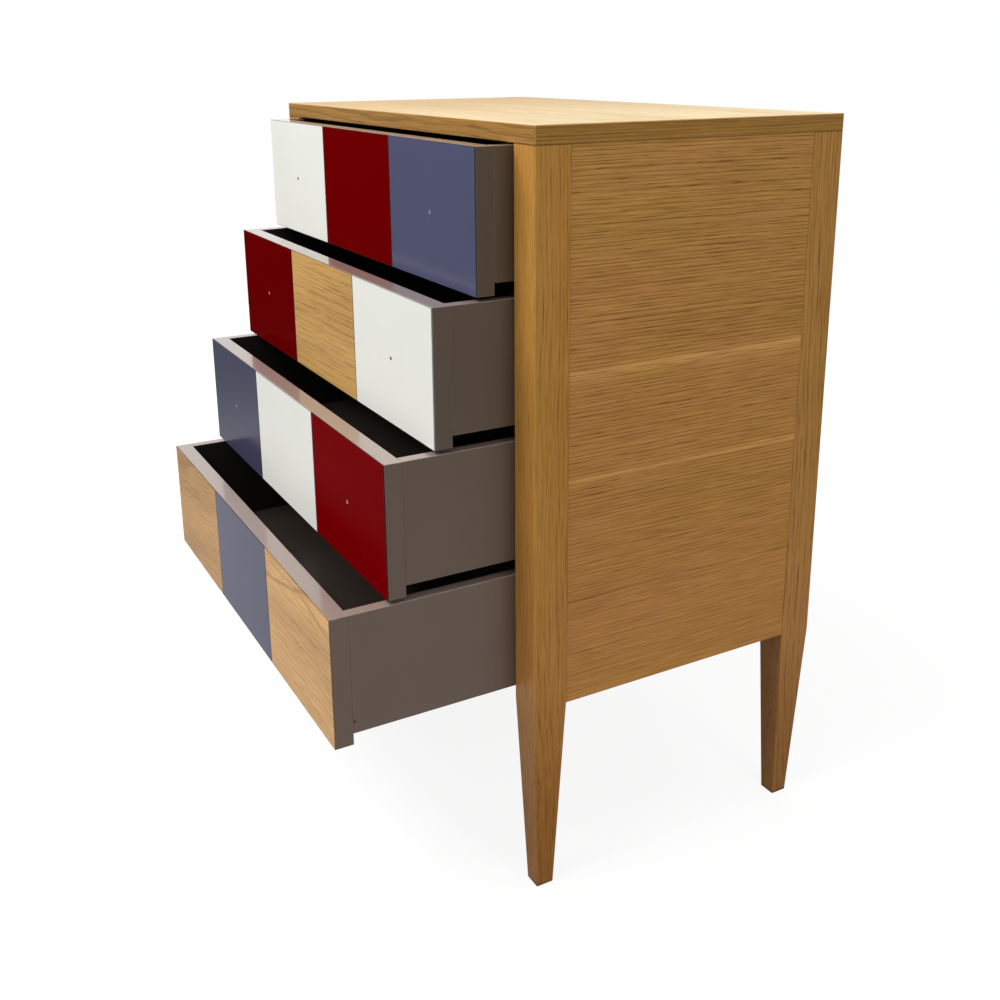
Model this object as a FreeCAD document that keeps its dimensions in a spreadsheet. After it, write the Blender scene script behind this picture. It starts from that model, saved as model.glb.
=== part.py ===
import FreeCAD, Part
import Sketcher
import os
import re

# A chest of four drawers on tapered legs.
#
# Frame: +X to the right of a person facing the drawers, the fronts face -Y, +Z up, the floor is Z = 0
# and the chest stands centred on X = 0. Drawers are numbered from the top. In the rest pose they are
# drawn out in steps, and Y = 0 is halfway between the lowest drawer's face and the legs' rear faces.
#
# Every size is in millimetres. The sheet below holds the driving dimensions. All else is worked out
# from them in expressions, where a lower-case word is the alias of a cell.

DIMENSIONS = {
    # overall
    "height": 1000,
    "width": 820,
    "depth": 460,
    # oak top, legs and panels
    "top_thick": 22,
    "top_ease": 1.0,
    "leg_size": 48,
    "leg_ease": 1.0,
    "foot_size": 25,
    "leg_tenon_size": 24,
    "leg_tenon_tall": 14,
    "panel_thick": 18,
    "panel_recess": 1,
    "panel_ease": 0.6,
    "tongue_thick": 8,
    "tongue_deep": 10,
    "back_thick": 8,
    "back_inset": 6,
    "back_groove": 8,
    "rear_rail_thick": 22,
    "rear_rail_tall": 60,
    "rear_tenon_thick": 12,
    "rear_tenon_tall": 40,
    "rear_tenon_long": 14,
    "dust_panel_thick": 6,
    "dust_panel_groove": 8,
    "front_rail_deep": 50,
    "front_rail_setback": 26,
    "front_tenon_deep": 16,
    "front_tenon_long": 12,
    # drawers
    "pull_1": 49,
    "pull_2": 107,
    "pull_3": 173,
    "pull_4": 248,
    "top_reveal": 2,
    "side_gap": 2,
    "front_tall": 172,
    "drawer_pitch": 177.5,
    "front_thick": 23,
    "tile_thick": 1.5,
    "tile_seam": 0.6,
    "tile_ease": 0.3,
    "board_ease": 0.5,
    "lip": 15,
    "box_long": 390,
    "side_thick": 16,
    "side_tongue_thick": 6,
    "side_tongue_deep": 8,
    "side_tongue_stop": 15,
    "rear_board_thick": 14,
    "rear_board_inset": 6,
    "rear_board_dado": 5,
    "floor_thick": 6,
    "floor_recess": 13,
    "floor_groove": 6,
    "knob_hole_radius": 2,
    # running clearances of the lowest front and its rail
    "rail_under_gap": 1.5,
    "rail_over_gap": 2.5,
    # folded steel runners
    "steel": 1.2,
    "flange_tall": 28,
    "track_wide": 18,
    "track_setback": 27,
    "track_long": 405,
    "channel_inset": 4,
    "channel_long": 385,
    "channel_setback": 1,
    "slip_gap": 0.6,
    "ride_gap": 0.4,
    "plate_gap": 0.6,
    "channel_foot_gap": 1.0,
    # countersunk screws that hold the runners to the legs
    "screw_head_radius": 3.6,
    "screw_head_deep": 1.9,
    "screw_radius": 1.7,
    "screw_long": 14,
    "screw_rise": 16,
    "front_screw_y": 38,
    "rear_screw_inset": 38,
}

DRAWERS = (1, 2, 3, 4)
LEFT, RIGHT = -1, 1
SIDES = {"left": LEFT, "right": RIGHT}

# Planes of the carcass.
FRONT_Y = "((pull_4 - depth) / 2)"
BACK_Y = "((pull_4 + depth) / 2)"
LEG_X = "(width / 2 - leg_size)"
TOP_Z = "(height - top_thick)"
PANEL_Z = f"({TOP_Z} - top_reveal - front_tall - 3 * drawer_pitch + rail_under_gap)"
BACK_PANEL_Y = f"({BACK_Y} - back_inset - back_thick)"

# The front rail lies under the lowest drawer, behind the lip of its front. The dust panel's top is
# level with it. The rear rail stands under the back of the top.
FRONT_RAIL_Z = (PANEL_Z, f"{PANEL_Z} - rail_under_gap + lip - rail_over_gap")
FRONT_RAIL_Y = (f"{FRONT_Y} + front_rail_setback", f"{FRONT_Y} + front_rail_setback + front_rail_deep")
FRONT_TENON_Y = (FRONT_RAIL_Y[0], f"{FRONT_RAIL_Y[0]} + front_tenon_deep")
DUST_PANEL_Z = (f"{FRONT_RAIL_Z[1]} - dust_panel_thick", FRONT_RAIL_Z[1])
REAR_RAIL_Y = (f"{BACK_PANEL_Y} - rear_rail_thick", BACK_PANEL_Y)
REAR_RAIL_Z = (f"{TOP_Z} - rear_rail_tall", TOP_Z)
REAR_TENON_Y = tuple(
    f"{BACK_PANEL_Y} - rear_rail_thick / 2 {step} rear_tenon_thick / 2" for step in "-+"
)
REAR_TENON_Z = tuple(
    f"{TOP_Z} - rear_rail_tall / 2 {step} rear_tenon_tall / 2" for step in "-+"
)

# Planes of one drawer, from the bottom of its face.
FACE_X = f"({LEG_X} - side_gap)"
INNER_X = f"({FACE_X} - side_thick)"
FRONT_BACK_Y = "(tile_thick + front_thick)"
BOX_BACK_Y = f"({FRONT_BACK_Y} + box_long)"
FLOOR_Z = "(lip + floor_recess)"
FLOOR_TOP_Z = f"({FLOOR_Z} + floor_thick)"
CHANNEL_X = f"({INNER_X} - channel_inset)"
TRACK_X = f"({CHANNEL_X} - steel - slip_gap)"
PLATE_Z = "(lip - plate_gap - steel)"


doc = FreeCAD.newDocument("chest_of_drawers")
sheet = doc.addObject("Spreadsheet::Sheet", "dims")
for row, (alias, value) in enumerate(DIMENSIONS.items(), start=1):
    sheet.set(f"A{row}", alias)
    sheet.set(f"B{row}", str(value))
    sheet.setAlias(f"B{row}", alias)
doc.recompute()

parts = []


def bind(thing, prop, text):
    """Ties a property to an expression in the sheet's aliases."""
    thing.setExpression(prop, re.sub(r"\b([a-z]\w*)", r"dims.\1", text))


def place(thing, corner):
    """Ties the place of an object to three expressions."""
    for axis, text in zip("xyz", corner):
        bind(thing, f"Placement.Base.{axis}", text)


def keep(thing, name):
    """Names a finished piece of the chest and lists it for export."""
    thing.Label = name
    parts.append(thing)
    return thing


def size(span):
    return f"({span[1]}) - ({span[0]})"


def flip(span, side):
    """The same span of X on the left or the right of the chest."""
    low, high = span
    return span if side == RIGHT else (f"-({high})", f"-({low})")


def block(name, x, y, z):
    """A plain rectangular block between the low and high planes given for each axis."""
    box = doc.addObject("Part::Box", name)
    for prop, span in zip(("Length", "Width", "Height"), (x, y, z)):
        bind(box, prop, size(span))
    place(box, (x[0], y[0], z[0]))
    return box


def rod(name, radius, length, start, along):
    """A round bar from a start point along +X, -X or +Y."""
    bar = doc.addObject("Part::Cylinder", name)
    bar.Placement.Rotation = FreeCAD.Rotation(FreeCAD.Vector(0, 0, 1), FreeCAD.Vector(*along))
    bind(bar, "Radius", radius)
    bind(bar, "Height", length)
    place(bar, start)
    return bar


def fuse(name, *shapes):
    joined = doc.addObject("Part::MultiFuse", name)
    joined.Shapes = list(shapes)
    joined.Refine = True
    return joined


def cut(name, base, *tools):
    remainder = doc.addObject("Part::Cut", name)
    remainder.Base = base
    remainder.Tool = tools[0] if len(tools) == 1 else fuse(f"{name}_cutters", *tools)
    return remainder


def flat_sketch(body, name):
    """An empty sketch on the body's own XY plane."""
    sketch = body.newObject("Sketcher::SketchObject", name)
    plane = next(f for f in body.Origin.OriginFeatures if f.Role == "XY_Plane")
    sketch.AttachmentSupport = (plane, [""])
    sketch.MapMode = "FlatFace"
    return sketch


def outline(sketch, corners):
    """A closed run of straight lines through the corners, which the constraints then size."""
    points = [FreeCAD.Vector(x, y, 0) for x, y in corners]
    count = len(points)
    for index in range(count):
        sketch.addGeometry(Part.LineSegment(points[index], points[(index + 1) % count]))
    for index in range(count):
        sketch.addConstraint(Sketcher.Constraint("Coincident", index, 2, (index + 1) % count, 1))


def dimension(sketch, title, kind, start, end, guess, text):
    """A named distance between two line ends, tied to an expression."""
    number = sketch.addConstraint(Sketcher.Constraint(kind, *start, *end, guess))
    sketch.renameConstraint(number, title)
    bind(sketch, f"Constraints.{title}", text)


def rectangle(body, name, wide, deep):
    """A rectangle that starts at the body's origin."""
    sketch = flat_sketch(body, name)
    outline(sketch, [(0, 0), (10, 0), (10, 10), (0, 10)])
    for index, kind in enumerate(("Horizontal", "Vertical", "Horizontal", "Vertical")):
        sketch.addConstraint(Sketcher.Constraint(kind, index))
    sketch.addConstraint(Sketcher.Constraint("Coincident", 0, 1, -1, 1))
    dimension(sketch, "wide", "DistanceX", (0, 1), (0, 2), 10, wide)
    dimension(sketch, "deep", "DistanceY", (1, 1), (1, 2), 10, deep)
    return sketch


def board(name, x, y, z, ease):
    """A sawn board with all its edges eased by a small chamfer."""
    body = doc.addObject("PartDesign::Body", name)
    pad = body.newObject("PartDesign::Pad", f"{name}_pad")
    pad.Profile = rectangle(body, f"{name}_outline", size(x), size(y))
    bind(pad, "Length", size(z))
    chamfer = body.newObject("PartDesign::Chamfer", f"{name}_ease")
    chamfer.Base = (pad, [""])
    chamfer.UseAllEdges = True
    bind(chamfer, "Size", ease)
    body.Tip = chamfer
    place(body, (x[0], y[0], z[0]))
    return body


def frustum(name, base, low, high, tall, turn):
    """A square taper with flat faces on an upright axis, from its half widths below and above."""
    wedge = doc.addObject("Part::Wedge", name)
    upright = FreeCAD.Rotation(FreeCAD.Vector(1, 0, 0), 90)
    wedge.Placement.Rotation = FreeCAD.Rotation(FreeCAD.Vector(0, 0, 1), turn) * upright
    bind(wedge, "Ymin", "0 * height")
    bind(wedge, "Ymax", tall)
    for axis in "XZ":
        bind(wedge, f"{axis}min", f"-({low})")
        bind(wedge, f"{axis}max", low)
        bind(wedge, f"{axis}2min", f"-({high})")
        bind(wedge, f"{axis}2max", high)
    place(wedge, base)
    return wedge


def eased_post(name, base, low, high, tall):
    """A square post with its long edges eased: one square trimmed by another, turned 45 degrees."""
    halves = (f"{low} / 2", f"{high} / 2")
    trimmed = (f"({low} - leg_ease) / 2 ^ 0.5", f"({high} - leg_ease) / 2 ^ 0.5")
    post = doc.addObject("Part::MultiCommon", name)
    post.Shapes = [
        frustum(f"{name}_square", base, *halves, tall, 0),
        frustum(f"{name}_turned", base, *trimmed, tall, 45),
    ]
    return post


# ---------------------------------------------------------------- carcass


def leg(name, side, front):
    """An oak leg: a stub tenon into the top, a groove for the side panel, and its rail's mortise."""
    centre_x = "(width / 2 - leg_size / 2)" if side == RIGHT else "-(width / 2 - leg_size / 2)"
    centre_y = f"({FRONT_Y} + leg_size / 2)" if front else f"({BACK_Y} - leg_size / 2)"
    foot_base = (centre_x, centre_y, "0 * height")
    foot = eased_post(f"{name}_foot", foot_base, "foot_size", "leg_size", PANEL_Z)
    shaft_base = (centre_x, centre_y, PANEL_Z)
    shaft = eased_post(f"{name}_shaft", shaft_base, "leg_size", "leg_size", size((PANEL_Z, TOP_Z)))
    half = "leg_tenon_size / 2"
    tenon = block(
        f"{name}_tenon",
        (f"{centre_x} - {half}", f"{centre_x} + {half}"),
        (f"{centre_y} - {half}", f"{centre_y} + {half}"),
        (f"{TOP_Z} - leg_tenon_tall", f"{TOP_Z} + leg_tenon_tall"),
    )
    whole = fuse(f"{name}_blank", foot, shaft, tenon)

    centre_of_panel = "(width / 2 - panel_recess - panel_thick / 2)"
    tongue = (f"{centre_of_panel} - tongue_thick / 2", f"{centre_of_panel} + tongue_thick / 2")
    if front:
        tongue_y = (f"{FRONT_Y} + leg_size - tongue_deep", f"{FRONT_Y} + leg_size + 1")
    else:
        tongue_y = (f"{BACK_Y} - leg_size - 1", f"{BACK_Y} - leg_size + tongue_deep")
    cutters = [block(f"{name}_groove", flip(tongue, side), tongue_y, (PANEL_Z, f"{TOP_Z}"))]

    if front:
        mortise_x = (f"{LEG_X} - 1", f"{LEG_X} + front_tenon_long")
        cutters.append(block(f"{name}_mortise", flip(mortise_x, side), FRONT_TENON_Y, FRONT_RAIL_Z))
    else:
        mortise_x = (f"{LEG_X} - 1", f"{LEG_X} + rear_tenon_long")
        cutters.append(block(f"{name}_mortise", flip(mortise_x, side), REAR_TENON_Y, REAR_TENON_Z))
        slot_x = (f"{LEG_X} - 1", f"{LEG_X} + back_groove")
        slot_y = (BACK_PANEL_Y, f"{BACK_PANEL_Y} + back_thick")
        cutters.append(block(f"{name}_back_slot", flip(slot_x, side), slot_y, (PANEL_Z, TOP_Z)))
    keep(cut(name, whole, *cutters), name)


def side_panel(name, side):
    """A veneered side board with a tongue down each edge and a groove for the dust panel."""
    face = ("width / 2 - panel_recess - panel_thick", "width / 2 - panel_recess")
    between = (f"{FRONT_Y} + leg_size", f"{BACK_Y} - leg_size")
    blank = board(f"{name}_board", flip(face, side), between, (PANEL_Z, TOP_Z), "panel_ease")
    centre = "(width / 2 - panel_recess - panel_thick / 2)"
    core = (f"{centre} - tongue_thick / 2", f"{centre} + tongue_thick / 2")
    reach = (f"{between[0]} - tongue_deep", f"{between[1]} + tongue_deep")
    tongues = block(f"{name}_tongues", flip(core, side), reach, (PANEL_Z, TOP_Z))
    groove = (f"{face[0]} - 1", f"{face[0]} + dust_panel_groove")
    slot = block(f"{name}_groove", flip(groove, side), between, DUST_PANEL_Z)
    keep(cut(name, fuse(f"{name}_blank", blank, tongues), slot), name)


def top_panel():
    """The oak top, flush with the legs on all four sides, with a blind mortise over each leg."""
    x = ("-width / 2", "width / 2")
    slab = board("top_slab", x, (FRONT_Y, BACK_Y), (TOP_Z, "height"), "top_ease")
    inset = "leg_size / 2 - leg_tenon_size / 2"
    pockets = []
    for title, side in SIDES.items():
        pocket_x = flip((f"width / 2 - ({inset}) - leg_tenon_size", f"width / 2 - ({inset})"), side)
        front = (f"{FRONT_Y} + {inset}", f"{FRONT_Y} + {inset} + leg_tenon_size")
        rear = (f"{BACK_Y} - ({inset}) - leg_tenon_size", f"{BACK_Y} - ({inset})")
        for end, pocket_y in (("front", front), ("rear", rear)):
            pocket_z = (f"{TOP_Z} - 1", f"{TOP_Z} + leg_tenon_tall")
            pockets.append(block(f"top_mortise_{end}_{title}", pocket_x, pocket_y, pocket_z))
    keep(cut("top_panel", slab, *pockets), "top_panel")


def front_bottom_rail():
    """The flat rail that ties the front legs, with a tenon at each end."""
    x = (f"-{LEG_X}", LEG_X)
    bar = block("front_rail_bar", x, FRONT_RAIL_Y, FRONT_RAIL_Z)
    reach = (f"-{LEG_X} - front_tenon_long", f"{LEG_X} + front_tenon_long")
    tenons = block("front_rail_tenons", reach, FRONT_TENON_Y, FRONT_RAIL_Z)
    groove_y = (f"{FRONT_RAIL_Y[1]} - dust_panel_groove", f"{FRONT_RAIL_Y[1]} + 1")
    groove = block("front_rail_groove", x, groove_y, DUST_PANEL_Z)
    keep(cut("front_bottom_rail", fuse("front_rail_blank", bar, tenons), groove), "front_bottom_rail")


def rear_top_rail():
    """The rail that ties the rear legs under the top, with a tenon at each end."""
    bar = block("rear_rail_bar", (f"-{LEG_X}", LEG_X), REAR_RAIL_Y, REAR_RAIL_Z)
    reach = (f"-{LEG_X} - rear_tenon_long", f"{LEG_X} + rear_tenon_long")
    tenons = block("rear_rail_tenons", reach, REAR_TENON_Y, REAR_TENON_Z)
    keep(fuse("rear_top_rail", bar, tenons), "rear_top_rail")


def bottom_panel():
    """The dust panel, let into the side panels and the front rail and notched round the legs."""
    reach = "(width / 2 - panel_recess - panel_thick + dust_panel_groove)"
    x = (f"-{reach}", reach)
    y = (f"{FRONT_RAIL_Y[1]} - dust_panel_groove", BACK_PANEL_Y)
    sheet_of_ply = block("dust_panel_sheet", x, y, DUST_PANEL_Z)
    notches = []
    for title, side in SIDES.items():
        corner_x = flip((LEG_X, f"{reach} + 1"), side)
        rear_y = (f"{BACK_Y} - leg_size", f"{BACK_PANEL_Y} + 1")
        notches.append(block(f"dust_panel_notch_{title}", corner_x, rear_y, DUST_PANEL_Z))
    keep(cut("bottom_panel", sheet_of_ply, *notches), "bottom_panel")


def back_panel():
    """The back board, slid into grooves in the rear legs."""
    x = (f"-{LEG_X} - back_groove", f"{LEG_X} + back_groove")
    y = (BACK_PANEL_Y, f"{BACK_PANEL_Y} + back_thick")
    keep(block("back_panel", x, y, (PANEL_Z, TOP_Z)), "back_panel")


# ---------------------------------------------------------------- runners


def row_z(drawer):
    """The height of the bottom of a drawer's face."""
    return f"({TOP_Z} - top_reveal - front_tall - {drawer - 1} * drawer_pitch)"


def runner_screw(name, drawer, side, front):
    """A wood screw driven into a leg. The same shape, cut from the runner, countersinks its flange."""
    flange_x = f"({LEG_X} - steel)" if side == RIGHT else f"-({LEG_X} - steel)"
    y = f"{FRONT_Y} + front_screw_y" if front else f"{BACK_Y} - rear_screw_inset"
    z = f"{row_z(drawer)} + lip + screw_rise"
    head = doc.addObject("Part::Cone", f"{name}_head")
    head.Placement.Rotation = FreeCAD.Rotation(FreeCAD.Vector(0, 0, 1), FreeCAD.Vector(side, 0, 0))
    bind(head, "Radius1", "screw_head_radius")
    bind(head, "Radius2", "screw_radius")
    bind(head, "Height", "screw_head_deep")
    place(head, (flange_x, y, z))
    shank = rod(f"{name}_shank", "screw_radius", "screw_long", (flange_x, y, z), (side, 0, 0))
    return fuse(name, head, shank)


def cabinet_runner(name, drawer, side):
    """The fixed runner: one folded sheet, a flange on the legs, a plate under the drawer side, a track."""
    base = row_z(drawer)
    y = (f"{FRONT_Y} + track_setback", f"{FRONT_Y} + track_setback + track_long")
    top = f"{base} + {FLOOR_Z} - steel - ride_gap"
    plate = f"{base} + {PLATE_Z}"
    folds = {
        "flange": ((f"{LEG_X} - steel", LEG_X), (plate, f"{base} + lip + flange_tall")),
        "plate": ((f"{TRACK_X} - steel", LEG_X), (plate, f"{plate} + steel")),
        "outer_wall": ((f"{TRACK_X} - steel", TRACK_X), (plate, top)),
        "crown": ((f"{TRACK_X} - track_wide", TRACK_X), (f"{top} - steel", top)),
        "inner_wall": ((f"{TRACK_X} - track_wide", f"{TRACK_X} - track_wide + steel"), (plate, top)),
    }
    sheets = [block(f"{name}_{fold}", flip(x, side), y, z) for fold, (x, z) in folds.items()]
    holes = [runner_screw(f"{name}_{end}_hole", drawer, side, end == "front") for end in ("front", "rear")]
    keep(cut(name, fuse(f"{name}_folded", *sheets), *holes), name)


def runner_screws():
    """All the screws of the fixed runners, as one group of separate screws."""
    screws = doc.addObject("Part::Compound", "runner_screws")
    screws.Links = [
        runner_screw(f"screw_{drawer}_{title}_{'front' if front else 'rear'}", drawer, side, front)
        for drawer in DRAWERS
        for title, side in SIDES.items()
        for front in (True, False)
    ]
    keep(screws, "runner_screws")


# ---------------------------------------------------------------- drawers


def drawer(number):
    """One drawer: a front board faced with three tiles, a box let into it, and its two channels."""
    name = f"drawer_{number}"
    origin_y = f"({FRONT_Y} - pull_{number})"
    origin_z = row_z(number)

    def at(y, z):
        """Moves spans from the drawer's own frame to the chest's."""
        return tuple(f"{origin_y} + {v}" for v in y), tuple(f"{origin_z} + {v}" for v in z)

    def piece(title, x, y, z):
        return block(f"{name}_{title}", x, *at(y, z))

    def eased(title, x, y, z, ease="board_ease"):
        return board(f"{name}_{title}", x, *at(y, z), ease)

    def knob_hole(title, side):
        """A through hole for a knob's screw, in the middle of an outer tile."""
        x = f"{side} * (2 * {FACE_X} / 3)"
        start = (x, f"{origin_y} - 1", f"{origin_z} + front_tall / 2")
        return rod(f"{name}_{title}", "knob_hole_radius", f"{FRONT_BACK_Y} + 2", start, (0, 1, 0))

    wide = (f"-{FACE_X}", FACE_X)
    floor_x = (f"-{INNER_X} - floor_groove", f"{INNER_X} + floor_groove")
    floor_z = (FLOOR_Z, FLOOR_TOP_Z)
    floor_y = (f"{FRONT_BACK_Y} - floor_groove", BOX_BACK_Y)
    side_z = ("lip", "front_tall")
    tongue_x = tuple(f"{INNER_X} + side_thick / 2 {step} side_tongue_thick / 2" for step in "-+")
    tongue_y = (f"{FRONT_BACK_Y} - side_tongue_deep", f"{FRONT_BACK_Y} + 1")
    tongue_z = ("lip", "front_tall - side_tongue_stop")
    rear_y = (
        f"{BOX_BACK_Y} - rear_board_inset - rear_board_thick",
        f"{BOX_BACK_Y} - rear_board_inset",
    )
    rear_z = (FLOOR_TOP_Z, "front_tall")

    # Front board, grooved for the drawer floor and for a tongue on each side.
    blank = eased("front_blank", wide, ("tile_thick", FRONT_BACK_Y), ("0 * lip", "front_tall"))
    cutters = [piece("front_floor_groove", floor_x, (floor_y[0], f"{FRONT_BACK_Y} + 1"), floor_z)]
    for title, side in SIDES.items():
        cutters.append(piece(f"front_{title}_groove", flip(tongue_x, side), tongue_y, tongue_z))
        cutters.append(knob_hole(f"front_{title}_knob_hole", side))
    keep(cut(f"{name}_front", blank, *cutters), f"{name}_front")

    # Three equal tiles glued to the front, with fine seams between them.
    tile_wide = f"((2 * {FACE_X} - 2 * tile_seam) / 3)"
    for index, title in enumerate(("left", "middle", "right")):
        low = f"-{FACE_X} + {index} * ({tile_wide} + tile_seam)"
        tile = eased(
            f"tile_{title}_blank",
            (low, f"{low} + {tile_wide}"),
            ("0 * lip", "tile_thick"),
            ("0 * lip", "front_tall"),
            "tile_ease",
        )
        if title in SIDES:
            tile = cut(f"{name}_tile_{title}", tile, knob_hole(f"tile_{title}_hole", SIDES[title]))
        keep(tile, f"{name}_tile_{title}")

    # Sides, grooved for the floor and housed for the rear board.
    for title, side in SIDES.items():
        board_x = (INNER_X, FACE_X)
        box_y = (FRONT_BACK_Y, BOX_BACK_Y)
        groove_x = (f"{INNER_X} - 1", f"{INNER_X} + floor_groove")
        dado_x = (f"{INNER_X} - 1", f"{INNER_X} + rear_board_dado")
        blank = eased(f"side_{title}_board", flip(board_x, side), box_y, side_z)
        tongue = piece(f"side_{title}_tongue", flip(tongue_x, side), tongue_y, tongue_z)
        groove_y = (tongue_y[0], BOX_BACK_Y)
        groove = piece(f"side_{title}_groove", flip(groove_x, side), groove_y, floor_z)
        dado = piece(f"side_{title}_dado", flip(dado_x, side), rear_y, rear_z)
        whole = fuse(f"{name}_side_{title}_blank", blank, tongue)
        keep(cut(f"{name}_side_{title}", whole, groove, dado), f"{name}_side_{title}")

    # Rear board and floor.
    rear_x = (f"-{INNER_X} - rear_board_dado", f"{INNER_X} + rear_board_dado")
    keep(piece("back", rear_x, rear_y, rear_z), f"{name}_back")
    keep(piece("bottom", floor_x, floor_y, floor_z), f"{name}_bottom")

    # Folded steel channels under the floor, which ride on the fixed tracks.
    for title, side in SIDES.items():
        channel_y = (
            f"{FRONT_BACK_Y} + channel_setback",
            f"{FRONT_BACK_Y} + channel_setback + channel_long",
        )
        far_x = f"({TRACK_X} - track_wide - slip_gap - steel)"
        foot_z = f"{PLATE_Z} + steel + channel_foot_gap"
        folds = {
            "crown": ((far_x, CHANNEL_X), (f"{FLOOR_Z} - steel", FLOOR_Z)),
            "outer_wall": ((f"{CHANNEL_X} - steel", CHANNEL_X), (foot_z, FLOOR_Z)),
            "inner_wall": ((far_x, f"{far_x} + steel"), (foot_z, FLOOR_Z)),
        }
        sheets = [
            piece(f"runner_{title}_{fold}", flip(x, side), channel_y, z)
            for fold, (x, z) in folds.items()
        ]
        keep(fuse(f"{name}_runner_{title}", *sheets), f"{name}_runner_{title}")


top_panel()
for end, is_front in (("front", True), ("rear", False)):
    for title, side in SIDES.items():
        leg(f"leg_{end}_{title}", side, is_front)
for title, side in SIDES.items():
    side_panel(f"side_panel_{title}", side)
front_bottom_rail()
rear_top_rail()
bottom_panel()
back_panel()
for number in DRAWERS:
    for title, side in SIDES.items():
        cabinet_runner(f"cabinet_runner_{number}_{title}", number, side)
runner_screws()
for number in DRAWERS:
    drawer(number)
doc.recompute()

# Each piece has to be sound before it is written.
for thing in doc.Objects:
    assert not {"Invalid", "Error"} & set(thing.State), f"{thing.Label}: {thing.State}"
os.makedirs("parts", exist_ok=True)
for thing in parts:
    shape = thing.Shape
    assert not shape.isNull() and shape.isValid() and shape.Volume > 0, thing.Label
    shape.exportStep(f"parts/{thing.Label}.step")
print(len(parts), "parts")
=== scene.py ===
import math

import bpy
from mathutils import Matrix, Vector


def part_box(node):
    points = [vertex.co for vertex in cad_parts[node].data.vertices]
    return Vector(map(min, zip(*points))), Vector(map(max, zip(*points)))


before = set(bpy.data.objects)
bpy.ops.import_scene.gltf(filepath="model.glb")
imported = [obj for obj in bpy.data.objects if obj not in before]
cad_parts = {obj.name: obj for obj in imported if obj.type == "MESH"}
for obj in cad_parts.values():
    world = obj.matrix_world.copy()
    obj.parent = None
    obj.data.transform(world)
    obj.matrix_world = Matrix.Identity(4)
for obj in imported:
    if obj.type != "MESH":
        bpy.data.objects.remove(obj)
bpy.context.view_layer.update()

# ---------------------------------------------------------------------------
# Legs
# Four solid oak posts, 48 mm square, tenoned into the top, with the grain up the
# post. Below the case they are planed to a taper on all four faces. Their corners
# are eased, and the oak has a satin clear finish.
# ---------------------------------------------------------------------------

NODE_SPACING = 190


class Wiring:
    """Fills one shader tree: each call adds a node, feeds its inputs in order and returns its output."""

    def __init__(self, tree):
        self.tree = tree

    def new(self, kind):
        node = self.tree.nodes.new(kind)
        node.location = (NODE_SPACING * len(self.tree.nodes), 0)
        return node

    def feed(self, socket, value):
        if isinstance(value, bpy.types.NodeSocket):
            self.tree.links.new(value, socket)
        else:
            socket.default_value = value

    def feed_named(self, node, values):
        """Feeds a node's inputs by their names, with _ for a space."""
        for name, value in values.items():
            self.feed(node.inputs[name.replace("_", " ")], value)

    def add(self, kind, *values, take=0, **options):
        """A shader node with these options set; take picks its output."""
        node = self.new("ShaderNode" + kind)
        for option, value in options.items():
            setattr(node, option, value)
        for socket, value in zip([s for s in node.inputs if s.enabled], values):
            self.feed(socket, value)
        return [s for s in node.outputs if s.enabled][take]

    def maths(self, operation, *values, clamp=False):
        return self.add("Math", *values, operation=operation, use_clamp=clamp)

    def product(self, first, *others):
        for other in others:
            first = self.maths("MULTIPLY", first, other)
        return first

    def most(self, first, *others):
        """The largest of some values."""
        for other in others:
            first = self.maths("MAXIMUM", first, other)
        return first

    def distance(self, across, up):
        return self.maths("SQRT", self.maths("MULTIPLY_ADD", across, across, self.product(up, up)))

    def vary(self, value, noise, amount):
        """A value that a noise raises and lowers, by up to half the amount."""
        return self.maths("MULTIPLY_ADD", self.maths("SUBTRACT", noise, 0.5), amount, value)

    def step(self, value, start, end):
        """Eases from 0 at start to 1 at end; start may be the larger."""
        return self.add("MapRange", value, start, end, 0.0, 1.0, interpolation_type="SMOOTHSTEP")

    def band(self, value, start, full, fading, end):
        """Eases from 0 at start to 1 at full, and from 1 at fading back to 0 at end."""
        return self.product(self.step(value, start, full), self.step(value, end, fading))

    def vector(self, operation, *values):
        return self.add("VectorMath", *values, operation=operation)

    def scaled(self, vector, factor):
        """A vector or a colour times a number."""
        result = self.vector("SCALE", vector)
        self.feed(result.node.inputs["Scale"], factor)
        return result

    def axes(self, place):
        """The three parts of a vector."""
        return list(self.add("SeparateXYZ", place).node.outputs)

    def noise(self, place, per_metre, detail=2.0):
        """Noise between 0 and 1; per_metre gives the waves a metre along each axis."""
        stretched = self.vector("MULTIPLY", place, per_metre)
        return self.add("TexNoise", stretched, 1.0, detail, 0.5, noise_dimensions="3D")

    def blend(self, amount, first, second):
        return self.add("Mix", amount, first, second, data_type="RGBA")

    def tinge(self, colour, tint):
        """A colour multiplied by a tint."""
        return self.add("Mix", 1.0, colour, tint, data_type="RGBA", blend_type="MULTIPLY")

    def use(self, group, **values):
        """Adds a node group, fed by input name, and returns its outputs by name."""
        node = self.new("ShaderNodeGroup")
        node.node_tree = group
        self.feed_named(node, values)
        return node.outputs

    def end(self, shader, kind="Material"):
        """Makes a shader the surface of the material, or of the world."""
        output = self.new("ShaderNodeOutput" + kind)
        self.tree.links.new(shader, output.inputs["Surface"])

    def surface(self, colour, roughness, height, relief, **others):
        """The material's shader and its bump, relief in metres; other inputs by name."""
        bump = self.new("ShaderNodeBump")
        self.feed_named(bump, {"Distance": relief, "Height": height})
        shader = self.new("ShaderNodeBsdfPrincipled")
        normal = bump.outputs["Normal"]
        self.feed_named(shader, {"Base_Color": colour, "Roughness": roughness, "Normal": normal, **others})
        self.end(shader.outputs[0])


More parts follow.
